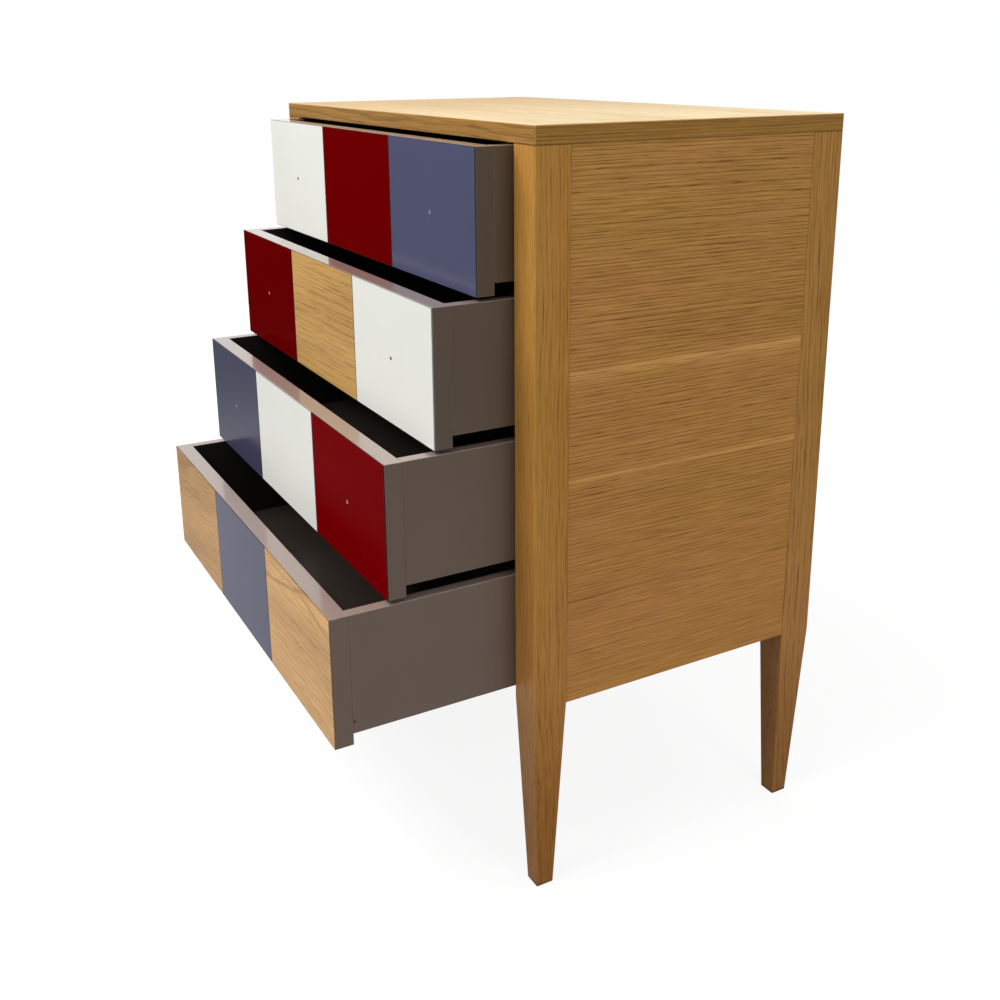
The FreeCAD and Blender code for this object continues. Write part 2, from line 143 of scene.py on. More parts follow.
def effect(name, **inputs):
    """An empty node group with these inputs: its wiring, and its input sockets in order."""
    tree = bpy.data.node_groups.new(name, "ShaderNodeTree")
    for label, value in inputs.items():
        kind = "Float" if isinstance(value, float) else "Color" if len(value) == 4 else "Vector"
        label = label.replace("_", " ")
        socket = tree.interface.new_socket(label, in_out="INPUT", socket_type="NodeSocket" + kind)
        socket.default_value = value
    given = tree.nodes.new("NodeGroupInput")
    return Wiring(tree), given.outputs[: len(inputs)]


def results(wiring, **outputs):
    """Gives a node group its outputs and returns the finished group."""
    for label in outputs:
        kind = "Color" if label == "Colour" else "Float"
        label = label.replace("_", " ")
        wiring.tree.interface.new_socket(label, in_out="OUTPUT", socket_type="NodeSocket" + kind)
    end = wiring.new("NodeGroupOutput")
    for socket, value in zip(end.inputs, outputs.values()):
        wiring.tree.links.new(value, socket)
    return wiring.tree


def new_material(name):
    """An empty material, its wiring and the point being coloured, in metres."""
    material = bpy.data.materials.new(name)
    material.use_nodes = True
    material.node_tree.nodes.clear()
    wiring = Wiring(material.node_tree)
    return material, wiring, wiring.add("TexCoord", take=3)


def cover(node, material):
    """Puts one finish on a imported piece."""
    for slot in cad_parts[node].material_slots:
        slot.material = material


# Oak cut as boards: growth rings round a pith that lies off the board, early wood full of dark pores.
wire, sockets = effect(
    "oak figure",
    Place=(0.0, 0.0, 0.0),
    Seed=0.0,
    Pale=(0.6, 0.4, 0.2, 1.0),
    Dark=(0.3, 0.15, 0.05, 1.0),
    Rings=0.4,
    Ring_Gap=0.0035,
    Broken=1.0,
    Pith_Aside=0.05,
    Pith_Depth=0.05,
    Pith_Lean=0.0,
    Wave=0.002,
    Pores=0.7,
    Flecks=0.2,
    Mottle=0.5,
)
place, seed, pale, dark, rings, ring_gap, broken, aside, depth, lean, wave, pores, flecks, mottle = sockets
along, across, inward = wire.axes(place)
# Each seed takes its board from another place in the noise.
moved = wire.vector("ADD", place, wire.scaled((7.3, 3.1, 5.7), seed))
# The rings wander slowly along the board and ripple over a few centimetres.
drift = wire.vary(0.0, wire.noise(moved, (1.7, 9.0, 9.0)), wave)
ripple = wire.vary(0.0, wire.noise(moved, (14.0, 70.0, 70.0)), wave)
from_pith = wire.maths("MULTIPLY_ADD", drift, 6.0, wire.maths("ADD", across, aside))
under = wire.maths("MULTIPLY_ADD", along, lean, wire.maths("ADD", inward, depth))
reach = wire.distance(from_pith, under)
# Some years grow more than others. Early wood is the dark part of a year, with gaps along the ring.
year = wire.maths("DIVIDE", wire.maths("ADD", reach, ripple), ring_gap)
growth = wire.add("TexNoise", wire.product(year, 0.31), 1.0, 1.0, 0.5, noise_dimensions="1D")
season = wire.maths("FRACT", wire.maths("MULTIPLY_ADD", growth, 1.6, year))
early = wire.most(wire.step(season, 0.42, 0.0), wire.step(season, 0.88, 1.0))
gaps = wire.product(wire.step(wire.noise(moved, (12.0, 340.0, 340.0)), 0.62, 0.25), broken)
early = wire.product(early, wire.maths("SUBTRACT", 1.0, gaps))
# Fine fibres, broad patches, vessels cut open as dark dashes, and pale flecks where rays are cut.
fibre = wire.noise(moved, (16.0, 540.0, 540.0), 3.0)
broad = wire.noise(moved, (1.8, 14.0, 14.0), 4.0)
vessel = wire.step(wire.noise(moved, (30.0, 900.0, 900.0), 1.0), 0.55, 0.72)
vessel = wire.product(vessel, wire.maths("MULTIPLY_ADD", early, 0.8, 0.2), pores)
ray = wire.product(wire.step(wire.noise(moved, (38.0, 190.0, 190.0), 1.0), 0.63, 0.74), flecks)
darkness = wire.vary(wire.maths("MULTIPLY_ADD", early, rings, 0.22), fibre, 1.15)
darkness = wire.maths("MULTIPLY_ADD", vessel, 0.75, wire.vary(darkness, broad, mottle))
darkness = wire.maths("MULTIPLY_ADD", ray, -0.5, darkness, clamp=True)
OAK_FIGURE = results(
    wire,
    Colour=wire.blend(darkness, pale, dark),
    Roughness=wire.maths("MULTIPLY_ADD", vessel, 0.16, wire.maths("MULTIPLY_ADD", fibre, 0.12, 0.36)),
    Height=wire.maths("SUBTRACT", wire.product(fibre, 0.35), wire.maths("MULTIPLY_ADD", early, 0.15, vessel)),
)

# How near a point is to the corner line of a post that tapers below its shoulder, in metres.
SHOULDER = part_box("side_panel_right")[0].z
FOOT_HALF = 0.0125
low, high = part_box("leg_front_right")
post_half = (high.x - low.x) / 2
wire, (place, centre_x, centre_y) = effect(
    "post corner", Place=(0.0, 0.0, 0.0), Centre_X=0.0, Centre_Y=0.0
)
x, y, z = wire.axes(place)
half = wire.add("MapRange", z, 0.0, SHOULDER, FOOT_HALF, post_half, interpolation_type="LINEAR")
off_x = wire.maths("SUBTRACT", half, wire.maths("ABSOLUTE", wire.maths("SUBTRACT", x, centre_x)))
off_y = wire.maths("SUBTRACT", half, wire.maths("ABSOLUTE", wire.maths("SUBTRACT", y, centre_y)))
POST_CORNER = results(wire, To_Corner=wire.most(off_x, off_y))

# Handling wear and a painted highlight: an uneven pale line where an edge is nearer than its width, partly
# rubbed finish and partly painted light catching the eased edge.
wire, (place, to_edge, width) = effect("rubbed edge and highlight", Place=(0.0, 0.0, 0.0), To_Edge=1.0, Width=0.001)
rubbed = wire.step(wire.noise(place, (60.0, 60.0, 60.0), 3.0), 0.3, 0.62)
near = wire.step(wire.maths("DIVIDE", to_edge, width), 1.0, 0.25)
RUBBED_EDGE_AND_HIGHLIGHT = results(wire, Wear=wire.product(near, wire.maths("MULTIPLY_ADD", rubbed, 0.6, 0.4)))


def shade_line_under_top(wiring, height):
    """A painted shade line along the joint of a leg or a side with the top, where shade falls under it."""
    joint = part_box("top_panel")[0].z
    return wiring.step(height, joint - 0.0012, joint - 0.0003)


# How the tone of a post changes: olive at the top, rosy below and darker toward the foot, with a painted
# shade line at its upper end under the top, and dark end grain and scuffs where it meets the floor.
wire, (place, oak) = effect("post tone and shade", Place=(0.0, 0.0, 0.0), Oak=(0.5, 0.3, 0.1, 1.0))
z = wire.axes(place)[2]
tall = wire.maths("MULTIPLY_ADD", wire.noise(place, (11.0, 11.0, 3.0)), 0.5, z)
tint = wire.blend(wire.step(tall, 0.95, 0.55), (0.99, 1.00, 0.92, 1.0), (1.03, 0.97, 1.03, 1.0))
tint = wire.blend(wire.step(z, 0.30, 0.08), tint, (0.78, 0.67, 0.49, 1.0))
scuffed = wire.maths("MULTIPLY_ADD", wire.noise(place, (90.0, 90.0, 90.0)), 0.006, z)
# Scuffs at the foot, and painted shade along the joint under the top.
scuffs_and_shade = wire.product(wire.most(shade_line_under_top(wire, z), wire.step(scuffed, 0.009, 0.003)), 0.62)
POST_TONE_AND_SHADE = results(wire, Colour=wire.blend(scuffs_and_shade, wire.tinge(oak, tint), (0.06, 0.03, 0.012, 1.0)))

# The rear pair's oak is painted greyer and darker, with stronger lines, as painted shade for their place
# under the case: pale wood, dark wood and the lines' strength.
LEG_OAK_REAR_SHADED = {
    "front": ((0.575, 0.279, 0.062, 1.0), (0.258, 0.103, 0.017, 1.0), 0.30),
    "rear": ((0.545, 0.270, 0.072, 1.0), (0.200, 0.083, 0.019, 1.0), 0.42),
}
# How far the pith leans in each post, as a share of its length.
LEANS = {"leg_front_right": 0.010, "leg_front_left": -0.012, "leg_rear_right": 0.016, "leg_rear_left": -0.008}
for count, (name, lean) in enumerate(LEANS.items()):
    material, wire, place = new_material("oak " + name.replace("_", " "))
    pale, dark, rings = LEG_OAK_REAR_SHADED["front" if "front" in name else "rear"]
    low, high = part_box(name)
    centre_x, centre_y = (low.x + high.x) / 2, (low.y + high.y) / 2
    x, y, z = wire.axes(place)
    across, inward = wire.maths("SUBTRACT", x, centre_x), wire.maths("SUBTRACT", y, centre_y)
    oak = wire.use(
        OAK_FIGURE, Place=wire.add("CombineXYZ", z, across, inward), Seed=1.0 + count, Pale=pale, Dark=dark,
        Rings=rings, Ring_Gap=0.0040, Pith_Aside=0.062, Pith_Depth=0.048, Pith_Lean=lean, Wave=0.0046,
        Pores=1.0, Flecks=0.25, Mottle=0.75,
    )
    to_corner = wire.use(POST_CORNER, Place=place, Centre_X=centre_x, Centre_Y=centre_y)["To Corner"]
    # Pale wear along the corners, partly a painted highlight where the eased corners catch the light.
    wear_and_highlight = wire.use(RUBBED_EDGE_AND_HIGHLIGHT, Place=place, To_Edge=to_corner, Width=0.0016)["Wear"]
    colour = wire.blend(wire.product(wear_and_highlight, 0.20), oak["Colour"], (0.62, 0.37, 0.14, 1.0))
    colour = wire.use(POST_TONE_AND_SHADE, Place=place, Oak=colour)["Colour"]
    wire.surface(colour, oak["Roughness"], oak["Height"], 0.00022, Specular_IOR_Level=0.18)
    cover(name, material)

# ---------------------------------------------------------------------------
# Side panels
# Oak veneered boards held in grooves between the legs, one millimetre behind
# the legs' faces. The veneer runs front to back, quarter cut, so its lines are
# fine and nearly straight, and it is warmer toward the floor.
# ---------------------------------------------------------------------------

# A sheet's own tone: two thin pale streaks across it, one below its upper third and one below its middle,
# olive and rosy patches a hand wide and warmth toward the floor, with a painted shade line under the top.
wire, (place, oak) = effect("sheet tone", Place=(0.0, 0.0, 0.0), Oak=(0.5, 0.3, 0.1, 1.0))
z = wire.axes(place)[2]
wander = wire.maths("MULTIPLY_ADD", wire.noise(place, (9.0, 5.0, 3.0)), 0.010, z)
streaks = wire.most(
    wire.band(wander, 0.698, 0.712, 0.714, 0.722), wire.band(wander, 0.570, 0.577, 0.579, 0.583)
)
colour = wire.blend(streaks, oak, wire.tinge(oak, (1.25, 1.32, 1.55, 1.0)))
patch = wire.step(wire.noise(place, (3.0, 4.5, 7.0), 1.0), 0.35, 0.65)
colour = wire.tinge(colour, wire.blend(patch, (0.98, 0.99, 0.88, 1.0), (1.02, 0.98, 1.05, 1.0)))
warmth = wire.step(wire.maths("MULTIPLY_ADD", wire.noise(place, (2.0, 2.0, 5.0)), 0.25, z), 1.05, 0.35)
colour = wire.blend(warmth, colour, wire.tinge(colour, (1.01, 0.91, 0.90, 1.0)))
# Painted shade along the joint under the top.
joint = wire.product(shade_line_under_top(wire, z), 0.5)
SHEET_TONE = results(wire, Colour=wire.blend(joint, colour, (0.07, 0.035, 0.014, 1.0)))

SIDE_PALE = (0.630, 0.329, 0.085, 1.0)
SIDE_DARK = (0.205, 0.081, 0.014, 1.0)
for name, seed in (("side_panel_right", 11.0), ("side_panel_left", 12.0)):
    material, wire, place = new_material("oak veneer " + name.replace("_", " "))
    x, y, z = wire.axes(place)
    # The lines are bolder in the upper part of the sheet.
    bold = wire.maths("MULTIPLY_ADD", wire.noise(place, (2.0, 2.0, 6.0)), 0.2, z)
    bold = wire.step(bold, 0.50, 0.72)
    oak = wire.use(
        OAK_FIGURE, Place=wire.add("CombineXYZ", y, z, x), Seed=seed, Pale=SIDE_PALE, Dark=SIDE_DARK,
        Rings=wire.maths("MULTIPLY_ADD", bold, 0.20, 0.22), Ring_Gap=0.0046, Broken=0.50,
        Pith_Aside=0.9, Pith_Depth=0.25, Pith_Lean=0.02, Wave=0.0022,
        Pores=wire.maths("MULTIPLY_ADD", bold, 0.60, 0.45), Flecks=0.1, Mottle=0.5,
    )
    colour = wire.use(SHEET_TONE, Place=place, Oak=oak["Colour"])["Colour"]
    wire.surface(colour, oak["Roughness"], oak["Height"], 0.00020, Specular_IOR_Level=0.25)
    cover(name, material)

# ---------------------------------------------------------------------------
# Rails
# Plain sawn oak rails: one ties the front legs below the lowest drawer, one
# ties the rear legs under the top. Both are tenoned in and are hardly seen.
# ---------------------------------------------------------------------------

# How deep a point is inside a box, and how far it is from the nearest of the box's edges, in metres.
wire, (place, low, high) = effect(
    "box faces", Place=(0.0, 0.0, 0.0), Low=(0.0, 0.0, 0.0), High=(1.0, 1.0, 1.0)
)
from_low, from_high = wire.vector("SUBTRACT", place, low), wire.vector("SUBTRACT", high, place)
x, y, z = wire.axes(wire.vector("MINIMUM", from_low, from_high))
smaller, larger = wire.maths("MINIMUM", x, y), wire.maths("MAXIMUM", x, y)
BOX_FACES = results(
    wire,
    Inside=wire.maths("MINIMUM", smaller, z),
    To_Edge=wire.maths("MAXIMUM", smaller, wire.maths("MINIMUM", larger, z)),
)


def board_edge(wiring, place, node):
    """How far a point is from the nearest edge of a packed board."""
    low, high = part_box(node)
    return wiring.use(BOX_FACES, Place=place, Low=tuple(low), High=tuple(high))["To Edge"]


for name, seed in (("front_bottom_rail", 21.0), ("rear_top_rail", 22.0)):
    material, wire, place = new_material("oak " + name.replace("_", " "))
    oak = wire.use(
        OAK_FIGURE, Place=place, Seed=seed, Pale=(0.50, 0.29, 0.11, 1.0), Dark=(0.27, 0.13, 0.04, 1.0),
        Rings=0.35, Ring_Gap=0.0032, Pith_Aside=0.07, Pith_Depth=-0.85, Pith_Lean=0.01, Wave=0.002,
        Pores=0.7, Flecks=0.15, Mottle=0.5,
    )
    # Pale wear along the edges, partly a painted highlight.
    wear_and_highlight = wire.use(RUBBED_EDGE_AND_HIGHLIGHT, Place=place, To_Edge=board_edge(wire, place, name), Width=0.0014)["Wear"]
    colour = wire.blend(wire.product(wear_and_highlight, 0.4), oak["Colour"], (0.60, 0.40, 0.19, 1.0))
    sawn = wire.maths("ADD", oak["Roughness"], 0.14)
    wire.surface(colour, sawn, oak["Height"], 0.00025, Specular_IOR_Level=0.3)
    cover(name, material)

# ---------------------------------------------------------------------------
# Dust panel
# A 6 mm birch plywood sheet under the lowest drawer, its faces left bare and
# its plies showing as brown and pale lines along the edges.
# ---------------------------------------------------------------------------

# Two plies together, how deep an edge's plies show, and a place far outside the chest, in metres.
PLY_PAIR = 0.0024
EDGE_DEPTH = 0.0003
FAR = 9.0

material, wire, place = new_material("birch plywood dust panel")
low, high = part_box("bottom_panel")
figure = wire.noise(place, (5.0, 34.0, 34.0), 4.0)
fibre = wire.noise(place, (18.0, 620.0, 620.0), 2.0)
amount = wire.vary(wire.step(figure, 0.25, 0.8), fibre, 0.5)
colour = wire.blend(amount, (0.66, 0.50, 0.30, 1.0), (0.47, 0.31, 0.155, 1.0))
up_sheet = wire.maths("SUBTRACT", wire.axes(place)[2], low.z)
ply = wire.maths("FRACT", wire.maths("DIVIDE", up_sheet, PLY_PAIR))
within = wire.use(
    BOX_FACES, Place=place, Low=(low.x + EDGE_DEPTH, low.y + EDGE_DEPTH, -FAR),
    High=(high.x - EDGE_DEPTH, high.y - EDGE_DEPTH, FAR),
)["Inside"]
dark_ply = wire.product(wire.maths("LESS_THAN", within, 0.0), wire.step(ply, 0.46, 0.54), 0.75)
colour = wire.blend(dark_ply, colour, (0.20, 0.11, 0.045, 1.0))
rough = wire.maths("MULTIPLY_ADD", fibre, 0.16, 0.56)
wire.surface(colour, rough, fibre, 0.00012, Specular_IOR_Level=0.25)
cover("bottom_panel", material)

# ---------------------------------------------------------------------------
# Back panel
# An 8 mm oak veneered board slid into grooves in the rear legs. Its veneer is
# plainer than the sides' and stands upright, laid in leaves side by side.
# ---------------------------------------------------------------------------

# The width of a leaf, and where the count of leaves starts, which is far enough left to keep it positive.
LEAF = 0.182
FIRST_LEAF = -2.0

material, wire, place = new_material("oak veneer back panel")
x, y, z = wire.axes(place)
from_first = wire.maths("SUBTRACT", x, FIRST_LEAF)
leaf = wire.maths("FLOOR", wire.maths("DIVIDE", from_first, LEAF))
in_leaf = wire.maths("SUBTRACT", from_first, wire.product(leaf, LEAF))
oak = wire.use(
    OAK_FIGURE, Place=wire.add("CombineXYZ", z, in_leaf, y),
    Seed=wire.maths("MULTIPLY_ADD", leaf, 0.37, 31.0),
    Pale=(0.52, 0.29, 0.10, 1.0), Dark=(0.31, 0.145, 0.042, 1.0), Rings=0.3, Ring_Gap=0.0062,
    Pith_Aside=0.21, Pith_Depth=-0.24, Pith_Lean=0.035, Wave=0.003, Pores=0.7, Flecks=0.2, Mottle=0.35,
)
to_joint = wire.maths("MINIMUM", in_leaf, wire.maths("SUBTRACT", LEAF, in_leaf))
joint = wire.product(wire.step(to_joint, 0.0007, 0.0001), 0.4)
colour = wire.blend(joint, oak["Colour"], (0.10, 0.05, 0.018, 1.0))
wire.surface(colour, oak["Roughness"], oak["Height"], 0.00016, Specular_IOR_Level=0.25)
cover("back_panel", material)

# ---------------------------------------------------------------------------
# Top
# A 22 mm oak veneered board that lies flush with the legs' outer faces. The
# face runs side to side; a veneer strip along each edge follows that edge.
# ---------------------------------------------------------------------------

# A point this near a face, in metres, counts as lying on it.
ON_FACE = 0.0002

material, wire, place = new_material("oak veneer top")
low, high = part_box("top_panel")
x, y, z = wire.axes(place)
strip = wire.maths("LESS_THAN", z, high.z - ON_FACE)
end_strip = wire.maths("GREATER_THAN", wire.maths("ABSOLUTE", x), high.x - ON_FACE)
side_to_side = wire.add("CombineXYZ", x, y, z)
front_to_back = wire.add("CombineXYZ", y, z, x)
# The face is painted paler than the sides, more so toward its right: painted light for the strong light from
# above and the sheen it shows there. The edge strips keep the tone of the sides, those on the ends painted a
# little paler than the front one as painted light.
face_with_painted_light = wire.blend(wire.step(x, -0.35, 0.40), (0.575, 0.360, 0.110, 1.0), (0.785, 0.605, 0.310, 1.0))
strip_pale = wire.blend(end_strip, (0.405, 0.200, 0.028, 1.0), (0.450, 0.225, 0.036, 1.0))
oak = wire.use(
    OAK_FIGURE, Place=wire.add("Mix", end_strip, side_to_side, front_to_back, data_type="VECTOR"), Seed=41.0,
    Pale=wire.blend(strip, face_with_painted_light, strip_pale),
    Dark=wire.blend(strip, (0.42, 0.25, 0.080, 1.0), (0.15, 0.060, 0.010, 1.0)),
    Rings=wire.maths("MULTIPLY_ADD", strip, 0.05, 0.40),
    Ring_Gap=wire.maths("MULTIPLY_ADD", strip, -0.0025, 0.0060),
    Broken=wire.maths("MULTIPLY_ADD", strip, -0.4, 1.0),
    Pith_Aside=0.9, Pith_Depth=-0.72, Pith_Lean=0.02, Wave=0.003, Pores=0.7, Flecks=0.3,
    Mottle=wire.maths("MULTIPLY_ADD", strip, -0.8, 1.1),
)
to_edge = board_edge(wire, place, "top_panel")
# Pale wear along the edges, partly a painted highlight.
wear_and_highlight = wire.use(RUBBED_EDGE_AND_HIGHLIGHT, Place=place, To_Edge=to_edge, Width=0.0014)["Wear"]
colour = wire.blend(wire.product(wear_and_highlight, 0.4), oak["Colour"], (0.66, 0.44, 0.20, 1.0))
wire.surface(colour, oak["Roughness"], oak["Height"], 0.00018, Specular_IOR_Level=0.38)
cover("top_panel", material)

# ---------------------------------------------------------------------------
# Cabinet runners
# The fixed half of each drawer's runner, one folded zinc-plated sheet screwed
# to the inside of the case. Brushed along its length, smeared where it slides.
# ---------------------------------------------------------------------------

DRAWERS = (1, 2, 3, 4)
HANDS = ("left", "right")

# Zinc plate on rolled steel: brushed front to back and softly mottled, with grease in places.
wire, (place, tint, dull) = effect(
    "zinc plate", Place=(0.0, 0.0, 0.0), Tint=(0.7, 0.7, 0.7, 1.0), Dull=(0.5, 0.5, 0.5, 1.0)
)
brush = wire.noise(place, (900.0, 9.0, 900.0), 2.0)
bloom = wire.noise(place, (120.0, 90.0, 120.0), 3.0)
grease = wire.step(wire.noise(place, (30.0, 8.0, 30.0)), 0.42, 0.68)
colour = wire.blend(wire.maths("MULTIPLY_ADD", brush, 0.4, wire.product(bloom, 0.5)), tint, dull)
ZINC_PLATE = results(
    wire,
    Colour=wire.blend(wire.product(grease, 0.35), colour, (0.20, 0.19, 0.17, 1.0)),
    Roughness=wire.maths("MULTIPLY_ADD", brush, 0.18, wire.maths("MULTIPLY_ADD", grease, -0.10, 0.30)),
    Height=wire.maths("MULTIPLY_ADD", bloom, 0.4, brush),
)


def zinc(name, tint, dull):
    """Steel with one tone of zinc plate."""
    material, wire, place = new_material(name)
    plate = wire.use(ZINC_PLATE, Place=place, Tint=tint, Dull=dull)
    wire.surface(plate["Colour"], plate["Roughness"], plate["Height"], 0.00003, Metallic=1.0)
    return material


track_steel = zinc("zinc plated track", (0.66, 0.67, 0.68, 1.0), (0.47, 0.47, 0.46, 1.0))
for number in DRAWERS:
    for hand in HANDS:
        cover(f"cabinet_runner_{number}_{hand}", track_steel)

# ---------------------------------------------------------------------------
# Runner screws
# Countersunk steel screws, two to a track and all alike, with a thin yellow
# passivated plate that has gone patchy.
# ---------------------------------------------------------------------------

cover("runner_screws", zinc("yellow passivated screw", (0.66, 0.58, 0.38, 1.0), (0.45, 0.40, 0.31, 1.0)))

# ---------------------------------------------------------------------------
# Drawer boxes
# Lacquered board boxes. Outside, the rims and the front board's ends are satin warm grey, painted paler on
# the rims as painted light and darker on the upper drawers as painted shade; inside, the walls and floor are
# satin black, up to the rim.
# ---------------------------------------------------------------------------

# Sprayed lacquer: faint cloudiness, orange peel a few millimetres across and the odd speck of dust.
wire, (place, tone, cloud, dullness) = effect(
    "sprayed lacquer", Place=(0.0, 0.0, 0.0), Tone=(0.5, 0.5, 0.5, 1.0), Cloud=0.1, Dullness=0.3
)
soft = wire.noise(place, (7.0, 7.0, 7.0), 3.0)
peel = wire.noise(place, (360.0, 360.0, 360.0), 1.0)
dust = wire.step(wire.noise(place, (1500.0, 1500.0, 1500.0), 0.0), 0.76, 0.82)
shift = wire.vary(wire.vary(1.0, soft, cloud), peel, wire.product(cloud, 0.35))
SPRAYED_LACQUER = results(
    wire,
    Colour=wire.scaled(tone, wire.maths("MULTIPLY_ADD", dust, 0.12, shift)),
    Roughness=wire.maths("MULTIPLY_ADD", dust, 0.2, wire.vary(dullness, soft, 0.10)),
    Height=wire.maths("MULTIPLY_ADD", dust, 0.5, peel),
)

# The joint of a front board with its sides: no wear shows near it, and a paler line is painted along it,
# broken in places, as painted light over the shade in the joint's groove.
wire, (place, joint_y) = effect("joint clear and lightened", Place=(0.0, 0.0, 0.0), Joint_Y=0.0)
to_joint = wire.maths("ABSOLUTE", wire.maths("SUBTRACT", wire.axes(place)[1], joint_y))
unbroken = wire.step(wire.noise(place, (40.0, 40.0, 60.0)), 0.72, 0.55)
JOINT_CLEAR_AND_LIGHTENED = results(
    wire,
    Clear=wire.step(to_joint, 0.0012, 0.0022),
    Filler=wire.product(wire.step(to_joint, 0.0009, 0.0005), unbroken),
)

# Scuffs that things in the drawer leave across its floor.
wire, (place,) = effect("floor scuffs", Place=(0.0, 0.0, 0.0))
FLOOR_SCUFFS = results(wire, Scuffs=wire.step(wire.noise(place, (9.0, 160.0, 20.0), 2.0), 0.66, 0.80))


def linear(*parts):
    """A screen colour, each part 0 to 255, as the linear colour a shader takes."""
    parts = [part / 255 for part in parts]
    return tuple(p / 12.92 if p < 0.04 else ((p + 0.055) / 1.055) ** 2.4 for p in parts) + (1.0,)


# The grey outside each drawer, painted paler from the top one down: painted shade on the upper drawers, which
# the top above shades.
TAUPE_WITH_PAINTED_SHADE = {1: linear(94, 82, 69), 2: linear(103, 89, 79), 3: linear(113, 97, 86), 4: linear(121, 104, 93)}
# The rims' paler grey is painted light.
RIM_WITH_PAINTED_LIGHT = linear(144, 127, 118)
BLACK = linear(36, 32, 30)


def drawer_inside(number):
    """The corners of a drawer's hollow, grown a fraction so that its walls' inner faces count as inside."""
    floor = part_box(f"drawer_{number}_bottom")[1]
    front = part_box(f"drawer_{number}_front")[1]
    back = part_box(f"drawer_{number}_back")[0]
    wall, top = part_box(f"drawer_{number}_side_right")
    low = (-wall.x - ON_FACE, front.y - ON_FACE, floor.z - ON_FACE)
    return low, (wall.x + ON_FACE, back.y + ON_FACE, top.z - ON_FACE)


def box_board(number, part, seed):
    """Grey lacquer outside and black inside, split at the drawer's hollow, for one board of a drawer."""
    node = f"drawer_{number}_{part}"
    material, wire, place = new_material("grey and black lacquer " + node.replace("_", " "))
    low, high = drawer_inside(number)
    hollow = wire.use(BOX_FACES, Place=place, Low=low, High=high)["Inside"]
    inside = wire.step(hollow, -ON_FACE / 2, ON_FACE / 2)
    # The rims are rubbed out to a higher gloss than the walls, and painted paler: painted light for the light
    # falling on their top faces and glancing off them.
    rim = wire.step(wire.axes(place)[2], high[2], high[2] + ON_FACE / 2)
    tone = wire.blend(inside, wire.blend(rim, TAUPE_WITH_PAINTED_SHADE[number], RIM_WITH_PAINTED_LIGHT), BLACK)
    moved = wire.vector("ADD", place, (seed, seed * 0.7, seed * 1.3))
    lacquer = wire.use(SPRAYED_LACQUER, Place=moved, Tone=tone, Cloud=0.16, Dullness=0.33)
    joint_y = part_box(f"drawer_{number}_front")[1].y
    joint = wire.use(JOINT_CLEAR_AND_LIGHTENED, Place=place, Joint_Y=joint_y)
    # Pale wear along the edges, partly a painted highlight.
    wear_and_highlight = wire.use(RUBBED_EDGE_AND_HIGHLIGHT, Place=moved, To_Edge=board_edge(wire, place, node), Width=0.0011)["Wear"]
    wear_and_highlight = wire.product(wear_and_highlight, joint["Clear"], 0.45)
    colour = wire.blend(wear_and_highlight, lacquer["Colour"], (0.36, 0.31, 0.275, 1.0))
    # A painted light line along the joint, to lighten the shade in its groove.
    colour = wire.blend(wire.product(joint["Filler"], 0.22), colour, (0.30, 0.26, 0.235, 1.0))
    if node == "drawer_4_side_right":
        # A dent down to the primer beside the lower front corner.
        dent = (0.0, joint_y + 0.002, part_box(node)[0].z + 0.016)
        flat = wire.vector("MULTIPLY", place, (0.0, 1.0, 1.0))
        from_dent = wire.vector("DISTANCE", flat, dent).node.outputs["Value"]
        colour = wire.blend(wire.step(from_dent, 0.0021, 0.0011), colour, (0.02, 0.014, 0.012, 1.0))
    wire.surface(
        colour, lacquer["Roughness"], lacquer["Height"], 0.00004, Specular_IOR_Level=0.3,
        Coat_Weight=wire.most(rim, wire.product(inside, 0.5)), Coat_Roughness=0.10,
    )
    cover(node, material)


def box_floor(number):
    """The floor is a thin sheet, black all over, in grooves in the four walls."""
    material, wire, place = new_material(f"black lacquer floor {number}")
    lacquer = wire.use(SPRAYED_LACQUER, Place=place, Tone=linear(64, 56, 50), Cloud=0.3, Dullness=0.26)
    scuffs = wire.use(FLOOR_SCUFFS, Place=place)["Scuffs"]
    colour = wire.blend(wire.product(scuffs, 0.15), lacquer["Colour"], (0.10, 0.09, 0.08, 1.0))
    wire.surface(colour, lacquer["Roughness"], lacquer["Height"], 0.00004)
    cover(f"drawer_{number}_bottom", material)


for number in DRAWERS:
    for count, part in enumerate(("front", "side_left", "side_right", "back")):
        box_board(number, part, number + count * 0.31)
    box_floor(number)

# ---------------------------------------------------------------------------
# Front tiles
# Three 1.5 mm tiles side by side on each front board: satin laminate in white, red or blue, or oak veneer. A
# fine dark line painted at each tile's edge stands in for the shade in its seams, and the outer tiles have a
# small hole for a knob.
# ---------------------------------------------------------------------------

KNOB_HOLE = 0.002
# Where a tile's hole is, measured from the middle of the chest. The middle tile has none.
HOLE_X = {"left": -0.240, "middle": FAR, "right": 0.240}

# The painted shade line round a tile, for the shade in its seams, and the bare core in the wall of its knob
# hole.
wire, (place, to_edge, hole_x, hole_z) = effect(
    "tile seam shade and holes", Place=(0.0, 0.0, 0.0), To_Edge=1.0, Hole_X=0.0, Hole_Z=0.0
)
x, _, z = wire.axes(place)
from_hole = wire.distance(wire.maths("SUBTRACT", x, hole_x), wire.maths("SUBTRACT", z, hole_z))
TILE_SEAM_SHADE_AND_HOLES = results(
    wire,
    Seam=wire.step(to_edge, 0.0011, 0.0003),
    Core=wire.step(from_hole, KNOB_HOLE + 0.0009, KNOB_HOLE + 0.0003),
)

